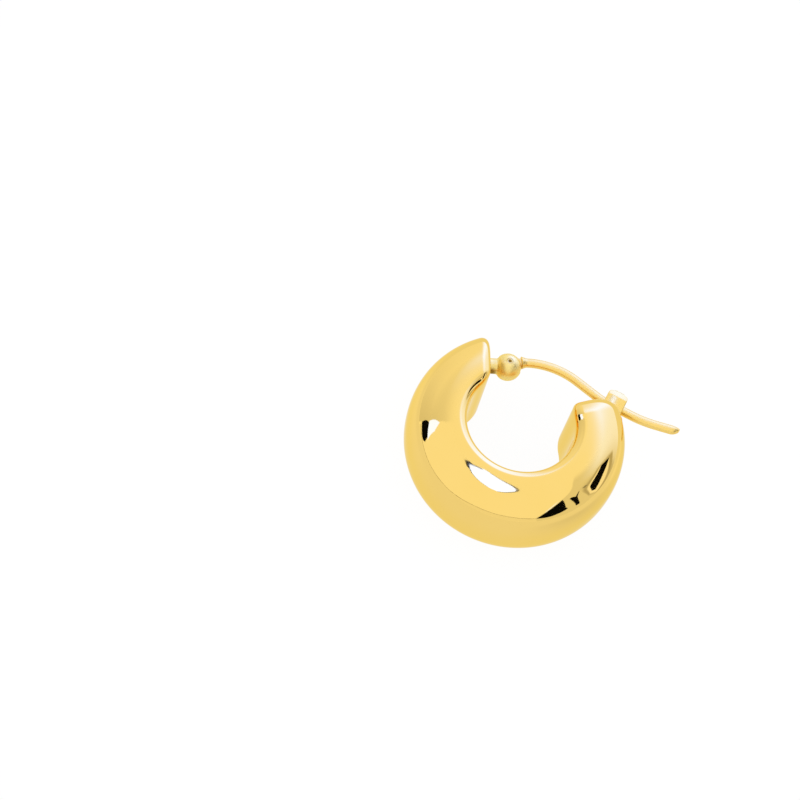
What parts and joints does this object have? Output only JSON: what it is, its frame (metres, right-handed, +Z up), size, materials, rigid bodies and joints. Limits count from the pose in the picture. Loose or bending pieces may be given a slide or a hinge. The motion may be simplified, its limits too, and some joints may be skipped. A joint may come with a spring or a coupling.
{
  "type": "creole hoop earring",
  "caption": "Wide domed creole hoop earring, flat inside, with a hinged ear wire that snaps into an open catch, lying on its side.",
  "frame": {"origin": "middle of the underside of the box round the whole earring, on the surface it lies on", "axes": "+Z up along the ring's axis, +Y from the ring's centre towards its gap, +X from the hinge towards the catch and the wire's tip"},
  "size_m": [0.023, 0.0202, 0.0085],
  "materials": {
    "polished_gold": "pale yellow gold, mirror polished"
  },
  "bodies": {
    "hoop_body": {"hoop": "polished_gold", "hinge_pin": "polished_gold"},
    "wire_body": {"ear_wire": "polished_gold"}
  },
  "joints": [
    {"name": "wire_hinge", "type": "hinge", "parent": "hoop_body", "child": "wire_body", "pos_m": [-0.00525, 0.00642, 0.00423], "axis": [0, 0, 1], "range_deg": [0, 90]}
  ]
}
